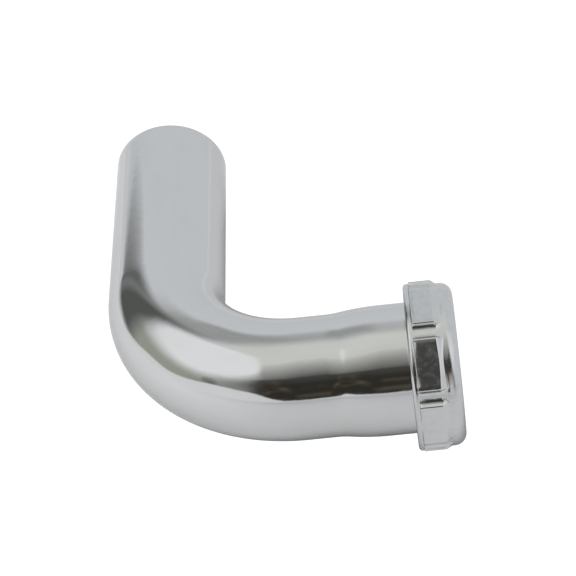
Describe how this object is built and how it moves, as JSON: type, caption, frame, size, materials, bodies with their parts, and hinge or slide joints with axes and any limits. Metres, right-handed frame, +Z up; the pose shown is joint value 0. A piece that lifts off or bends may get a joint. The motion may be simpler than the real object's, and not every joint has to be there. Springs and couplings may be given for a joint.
{
  "type": "slip joint elbow",
  "caption": "Right-angle bent drain tube in bright plated brass, plain at one end and with a threaded slip socket, slip nut and bevelled washer at the other.",
  "frame": {"origin": "on the floor the elbow lies on, under the middle of its outline", "axes": "+Y along the plain leg towards its open end, +Z up, +X over the socket leg, which rises a few degrees towards its nut"},
  "size_m": [0.1128, 0.1444, 0.053],
  "materials": {
    "plated_tube": "bright plated brass tube, mirror-like with faint waves",
    "plated_nut": "bright plated die casting, slightly softer than the tube",
    "washer_rubber": "matt black rubber"
  },
  "bodies": {
    "tube": {"elbow_tube": "plated_tube"},
    "washer": {"slip_washer": "washer_rubber"},
    "nut": {"slip_nut": "plated_nut"}
  },
  "joints": [
    {"name": "nut_travel", "type": "slide", "parent": "tube", "child": "washer", "axis": [0.9959, 0, 0.0905], "range_m": [0, 0.00884]},
    {"name": "nut_turn", "type": "hinge", "parent": "washer", "child": "nut", "pos_m": [0.04697, -0.04583, 0.02671], "axis": [0.9959, 0, 0.0905], "range_deg": [0, 1440]}
  ],
  "couplings": [
    {"joint": "nut_travel", "follows": "nut_turn", "m_per_rad": 0.00035152}
  ]
}
